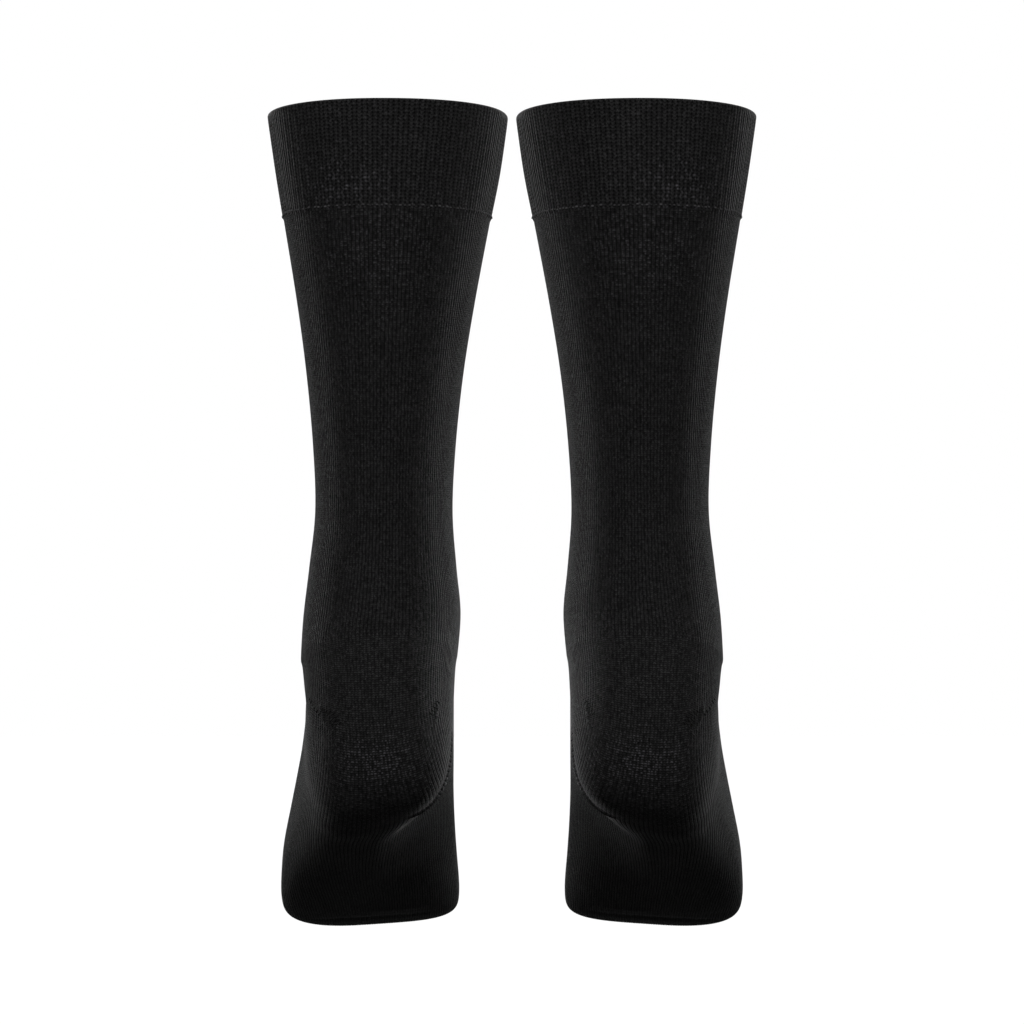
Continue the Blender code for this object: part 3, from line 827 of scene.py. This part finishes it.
def cuff(name, side):
    """The double cuff: up its inside, over its round rim and down its ribbed outside."""
    end = STATION["cuff end"]
    radius = CUFF_WALL / 2
    middle = radius - CUFF_STAND
    top = radius / abs(SECTIONS[1].back_z - SECTIONS[0].back_z)
    places = np.concatenate([np.linspace(end, top, CUFF_LINING_ROWS + 1)[:-1], np.full(RIM_ROWS, top),
                             np.linspace(top, end, CUFF_COURSES * COURSE_ROWS + 1)])
    turn = np.concatenate([np.full(CUFF_LINING_ROWS, math.pi), np.linspace(math.pi, 0, RIM_ROWS + 1)[:-1],
                           np.zeros(CUFF_COURSES * COURSE_ROWS + 1)])
    outer = np.arange(len(places)) >= CUFF_LINING_ROWS + RIM_ROWS
    tuck = EDGE_TUCK * outer * np.clip(1 - (end - places) / EDGE_TURN, 0, 1) ** 2
    depth = middle - radius * np.cos(turn) + tuck
    grid, level = skin(places), unit(outward(places) * (1, 1, 0))
    up = np.array((0, 0, 1))
    grid = grid - level * depth[:, None, None] + up * radius * np.sin(turn)[:, None, None]
    away = unit(level * np.cos(turn)[:, None, None] + up * np.sin(turn)[:, None, None])
    relief = np.where(outer, np.clip((places - top) / RIM_FADE, 0, 1), 0.0)
    steps = np.linalg.norm(np.diff(grid, axis=0), axis=2).mean(axis=1)
    reach = np.concatenate([[0.0], np.cumsum(steps)])
    course = (reach - reach[-1]) * CUFF_COURSES / steps[CUFF_LINING_ROWS + RIM_ROWS:].sum()
    cells = cell_map(wales_of(COLUMNS), course[:, None])
    return shell(name, side, grid, grid, away, relief, cells, np.ones((len(places) - 1, COLUMNS), bool), None)


def tube(name, side, places, course):
    """A plain knitted tube between two places of the skin."""
    grid, away = skin(places), outward(places)
    cells = cell_map(wales_of(COLUMNS), course[:, None])
    mask = np.ones((len(places) - 1, COLUMNS), bool)
    return shell(name, side, grid, grid - away * PLAIN_WALL, away, np.ones(len(places)), cells, mask,
                 LINING_STRIDE)


def leg(name, side):
    places = np.linspace(STATION["cuff end"], HEEL_START, LEG_STEPS + 1)
    return tube(name, side, places, down_to(places) / LEG_COURSE)


def heel(name, side):
    """The heel's pocket: two wedges of courses that meet along a gore line on each side."""
    places = np.concatenate([np.linspace(HEEL_START, GORE, GORE_STEPS + 1),
                             np.linspace(GORE, HEEL_END, GORE_STEPS + 1)[1:]])
    grid, away = skin(places)[:, :HALF + 1], outward(places)[:, :HALF + 1]
    wales = wales_of(HALF)
    beside = np.abs(wales - HALF_WALES / 2)
    wedge = np.clip((HALF_WALES / 2 - beside) / (HALF_WALES / 2 - HEEL_FLAT_WALES), 0, 1)
    number = HEEL_SIDE_COURSES + (HEEL_COURSES - HEEL_SIDE_COURSES) * wedge
    start = down_to([HEEL_START])[0] / LEG_COURSE
    upper = start + number * (places[:GORE_STEPS + 1, None] - HEEL_START) / (GORE - HEEL_START)
    lower = (start + 2 * HEEL_COURSES
             - number * (HEEL_END - places[GORE_STEPS:, None]) / (HEEL_END - GORE))
    cells = np.concatenate([cell_map(wales, upper), cell_map(wales, lower)])
    mask = np.ones((2 * GORE_STEPS, HALF), bool)
    return shell(name, side, grid, grid - away * PLAIN_WALL, away, np.ones(len(places)), cells, mask,
                 HEEL_LINING_STRIDE, ring=False)


def foot(name, side):
    """Sole and instep. Over the ankle's front it reaches up to the leg."""
    band = np.linspace(HEEL_START, HEEL_END, BAND_STEPS + 1)
    places = band
    for last, steps in FOOT_ROWS:
        places = np.concatenate([places, np.linspace(places[-1], last, steps + 1)[1:]])
    grid, away = skin(places), outward(places)
    steps = np.linalg.norm(np.diff(grid, axis=0), axis=2)
    mean = np.where(np.arange(len(steps)) < BAND_STEPS, steps[:, HALF:].mean(axis=1), steps.mean(axis=1))
    course = np.concatenate([[0.0], np.cumsum(mean)]) / FOOT_COURSE
    cells = cell_map(wales_of(COLUMNS), course[:, None])
    mask = np.ones((len(places) - 1, COLUMNS), bool)
    mask[:BAND_STEPS, :HALF] = False
    return shell(name, side, grid, grid - away * PLAIN_WALL, away, np.ones(len(places)), cells, mask,
                 LINING_STRIDE)


def toe(name, side):
    """The toe's pocket, shut across its tip. Its wales run straight on and end along a gore line a side."""
    places = np.linspace(STATION["toe start"], STATION["tip"], TOE_STEPS + 1)
    grid, away = skin(places), outward(places)
    lining = shut(grid - away * PLAIN_WALL, 0.0)
    grid = shut(grid, TIP_BULGE)
    away = np.concatenate([away, np.repeat(away[-1:], TIP_ROWS, axis=0)])
    width = np.linalg.norm(np.diff(grid, axis=1, append=grid[:, :1]), axis=2)
    steps = np.linalg.norm(np.diff(grid, axis=0), axis=2).mean(axis=1)
    course = np.concatenate([[0.0], np.cumsum(steps)])[:, None] / FOOT_COURSE
    halves = []
    for first in (0, HALF):
        reach = np.pad(np.cumsum(width[:, first:first + HALF], axis=1), ((0, 0), (1, 0)))
        reach -= reach[:, HALF // 2][:, None]
        pitch = (reach[0, -1] - reach[0, 0]) / HALF_WALES
        halves.append(cell_map((first + HALF / 2) / WALE_COLUMNS + reach / pitch, course))
    fade = np.clip(1 - np.arange(len(grid)) / TOE_FADE_ROWS, 0, 1)
    mask = np.ones((len(grid) - 1, COLUMNS), bool)
    return shell(name, side, grid, lining, away, fade, np.concatenate(halves, axis=1), mask, LINING_STRIDE,
                 closed=True)


def shut(rows, bulge):
    """Rows carried on past the last ring until its sole half and its top half meet in a line."""
    last = rows[-1]
    middle = (last + np.roll(last[::-1], 1, axis=0)) / 2
    ahead = unit((rows[-1] - rows[-2]).mean(axis=0))
    turns = np.linspace(0, math.pi / 2, TIP_ROWS + 1)[1:]
    closing = [middle + (last - middle) * round(math.cos(turn), 6) + ahead * bulge * math.sin(turn)
               for turn in turns]
    return np.concatenate([rows, closing])


# ---- seams ----

def stitches(name, side, points, away, along, stretch, stitch, finish):
    """Loops of yarn laid along a path, each turned by its own directions."""
    flip = np.array((side, 1, 1))
    mesh = bpy.data.meshes.new(name)
    mesh.from_pydata((points * MM * flip).tolist(), [], [])
    store(mesh, "away", unit(away) * flip)
    store(mesh, "along", unit(along) * flip)
    store(mesh, "stretch", stretch)
    return grown(placed(name, mesh), seam_loops, Length=stitch.length * MM, Rise=stitch.rise * MM,
                 Yarn_Radius=stitch.yarn_radius * MM, Material=finish)


def transfer_row(name, side):
    """The row of transferred loops that ends the cuff, one for each wale. Its yarn is painted lighter than the
    cloth, as a highlight.
    """
    place = STATION["cuff end"] - TRANSFER_UP / abs(SECTIONS[2].back_z - SECTIONS[1].back_z)
    grid = skin([place], WALES // 2)[0]
    ring = np.roll(grid, -1, axis=0) - np.roll(grid, 1, axis=0)
    away = unit(np.cross((0, 0, 1), ring))
    wobble = np.random.default_rng(5)
    size = wobble.uniform(0.2, 1.3, len(grid))
    lift = np.array((0, 0, 1)) * wobble.uniform(-0.2, 0.2, (len(grid), 1))
    points = grid + away * (CUFF_STAND + TRANSFER_CLEAR) + lift
    return stitches(name, side, points, away, ring, size, TRANSFER_STITCH, transfer_yarn)


def heel_slots(name, side):
    """Open slots at the heel's two corners, where its courses turn back, drawn as loops of near-black yarn:
    painted shadow in the slots. They lean towards the heel.
    """
    points, away, along = [], [], []
    for start, end, number, lean in HEEL_SLOTS:
        place, wale = (np.linspace(start[axis], end[axis], number) for axis in range(2))
        row, column = np.arange(number), np.rint(wale * WALE_COLUMNS).astype(int)
        grid, square = skin(place), outward(place)
        around = unit(grid[row, column + 1] - grid[row, column])
        up = unit(np.cross(around, square[row, column]))
        points.append(grid[row, column])
        away.append(square[row, column])
        along.append(around * lean + up * np.sign(up[:, 2:]))
    points, away, along = (np.concatenate(part) for part in (points, away, along))
    points = points + (creased(points) + STITCH_CLEAR) * away
    size = 1 + np.random.default_rng(8).uniform(-0.3, 0.2, len(points))
    return stitches(name, side, points, away, along, size, SLOT_STITCH, slot_shadow_yarn)


def toe_seam(name, side):
    """The linked row that joins the toe's pocket to the instep, across the top of the toes."""
    grid, away = (make([TOE_SEAM])[0, HALF::WALE_COLUMNS] for make in (skin, outward))
    size = 1 + np.random.default_rng(11).uniform(-0.15, 0.15, len(grid))
    return stitches(name, side, grid + away * STITCH_CLEAR, away, np.gradient(grid, axis=0), size, TOE_STITCH,
                    seam_yarn)


# ---- the pair ----

seam_loops = stitch_tree()
# The knitted parts. flat is a part's relaxed size, in metres.
Part = namedtuple("Part", "name make slot finish relief height sunk flat")
PARTS = (
    Part("cuff", cuff, "ribbed_knit", ribbed_knit, rib_relief, RIB_HEIGHT, RIB_SUNK, (0.24, 0.052)),
    Part("leg", leg, "plain_knit", plain_knit, jersey_relief, WALE_HEIGHT, WALE_HEIGHT / 2, (0.2, 0.19)),
    Part("heel", heel, "heel_toe_knit", heel_knit, jersey_relief, WALE_HEIGHT, WALE_HEIGHT / 2, (0.1, 0.1)),
    Part("foot", foot, "plain_knit", foot_knit, jersey_relief, WALE_HEIGHT, WALE_HEIGHT / 2, (0.2, 0.15)),
    Part("toe", toe, "heel_toe_knit", heel_knit, jersey_relief, WALE_HEIGHT, WALE_HEIGHT / 2, (0.17, 0.035)),
)
SEAMS = {"cuff": transfer_row, "heel": heel_slots, "toe": toe_seam}


def dress(sock, side):
    """One sock's cloth, with each part over its solid."""
    for part, make, slot, finish, relief, height, sunk, flat in PARTS:
        piece = make(f"{sock}_{part}_cloth", side)
        grown(piece, relief, Height=height * MM, Sunk=sunk * MM, Material=finish)
        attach(piece, "root")
        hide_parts(f"{sock}_{part}")
        sewn = SEAMS.get(part)
        if sewn:
            row = sewn(f"{sock}_{sewn.__name__}", side)
            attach(row, "root")


for label, side in SIDES.items():
    dress(f"{label}_sock", side)


# ---- camera, light and ground ----

def aimed(thing, spot, target):
    thing.location = spot
    thing.rotation_euler = (Vector(target) - Vector(spot)).to_track_quat("-Z", "Y").to_euler()


def soft_light(name, lamp, side=1, shadow=True):
    """A rectangular lamp. side is -1 for one mirrored to the left."""
    light = bpy.data.lights.new(name, "AREA")
    light.shape, light.size, light.size_y, light.energy = "RECTANGLE", lamp.width, lamp.height, lamp.power
    light.use_shadow, light.spread = shadow, math.radians(lamp.spread)
    aimed(placed(name, light), (side * lamp.x, lamp.y, lamp.z), (side * lamp.aim_x, 0.0, lamp.aim_z))


camera = bpy.data.cameras.new("camera")
camera.sensor_width, camera.lens = 36.0, LENS
camera.clip_start, camera.clip_end = 0.05, 50.0
eye = placed("camera", camera)
aimed(eye, (0.0, -EYE_BACK, EYE_HEIGHT), (0.0, 0.0, EYE_HEIGHT))
bpy.context.scene.camera = eye

plane = bpy.data.meshes.new("floor")
around = [(x * GROUND_HALF, y * GROUND_HALF, GROUND_HEIGHT) for x, y in ((-1, -1), (1, -1), (1, 1), (-1, 1))]
plane.from_pydata(around, [], [(0, 1, 2, 3)])
floor = placed("floor", plane)
pale = bpy.data.materials.new("pale_floor")
pale.use_nodes = True
ground = pale.node_tree.nodes["Principled BSDF"]
ground.inputs["Base Color"].default_value = (0.06, 0.06, 0.06, 1.0)
ground.inputs["Roughness"].default_value = 1.0
ground.inputs["Emission Color"].default_value = (1.0, 1.0, 1.0, 1.0)
path = pale.node_tree.nodes.new("ShaderNodeLightPath")
pale.node_tree.links.new(path.outputs["Is Camera Ray"], ground.inputs["Emission Strength"])
plane.materials.append(pale)

# A white room, dim below
world = bpy.data.worlds.new("studio")
bpy.context.scene.world = world
world.use_nodes = True
room = world.node_tree
sky = room.nodes["Background"]
sky.inputs["Color"].default_value = (1.0, 1.0, 1.0, 1.0)
facing = room.nodes.new("ShaderNodeSeparateXYZ")
room.links.new(room.nodes.new("ShaderNodeTexCoord").outputs["Generated"], facing.inputs[0])
seen = Term(room, room.nodes.new("ShaderNodeLightPath").outputs["Is Camera Ray"])
level = Term(room, facing.outputs["Z"]).step(DIM_SLOPE, FULL_SLOPE) * (ROOM_LIGHT - FLOOR_LIGHT) + FLOOR_LIGHT
room.links.new((level * (1.0 - seen) + seen).socket, sky.inputs["Strength"])
bpy.context.scene.view_settings.view_transform = "Standard"

for label, side in SIDES.items():
    for lamp in SIDE_LAMPS:
        soft_light(f"{label}_{lamp.name}", lamp, side, shadow=False)
soft_light(FRONT_LAMP.name, FRONT_LAMP)
